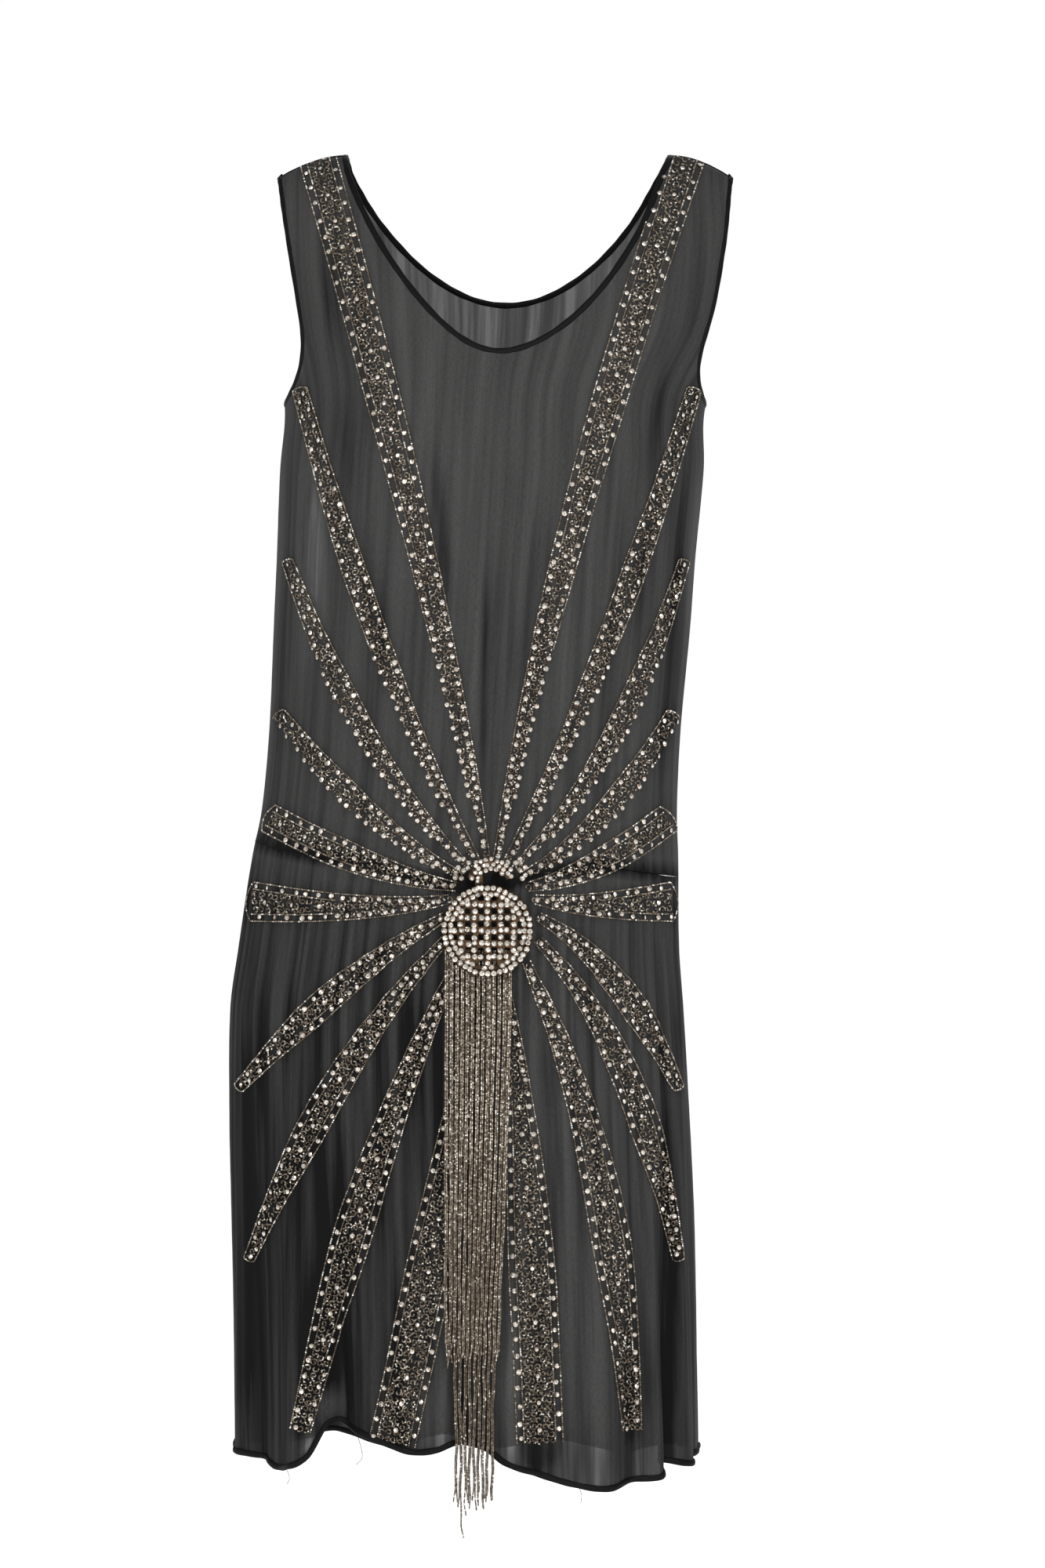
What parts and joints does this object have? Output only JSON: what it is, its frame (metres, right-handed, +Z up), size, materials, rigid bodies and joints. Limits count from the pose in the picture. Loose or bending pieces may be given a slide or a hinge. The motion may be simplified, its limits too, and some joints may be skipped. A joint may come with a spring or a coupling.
{
  "type": "flapper dress",
  "caption": "Sleeveless straight evening dress of sheer black silk in worn form, with a low hip seam, beaded rays, an openwork hip medallion and a long bead fringe.",
  "frame": {"origin": "midway between the two shoulder seams, level with their inner ends, where the wearer's shoulders hold the dress", "axes": "+Z up, the front faces -Y, +X is the wearer's left"},
  "size_m": [0.4133, 0.2985, 1.1115],
  "materials": {
    "chiffon": "sheer black silk chiffon, matte",
    "binding": "folded black silk",
    "medallion": "foil-backed glass stones in metal cups",
    "beads": "silver-lined glass beads"
  },
  "bodies": {
    "root": {"front_bodice": "chiffon", "back_bodice": "chiffon", "front_skirt": "chiffon", "back_skirt": "chiffon", "neck_binding": "binding", "right_armhole_binding": "binding", "left_armhole_binding": "binding", "hip_medallion": "medallion", "bead_fringe": "beads"}
  },
  "joints": []
}
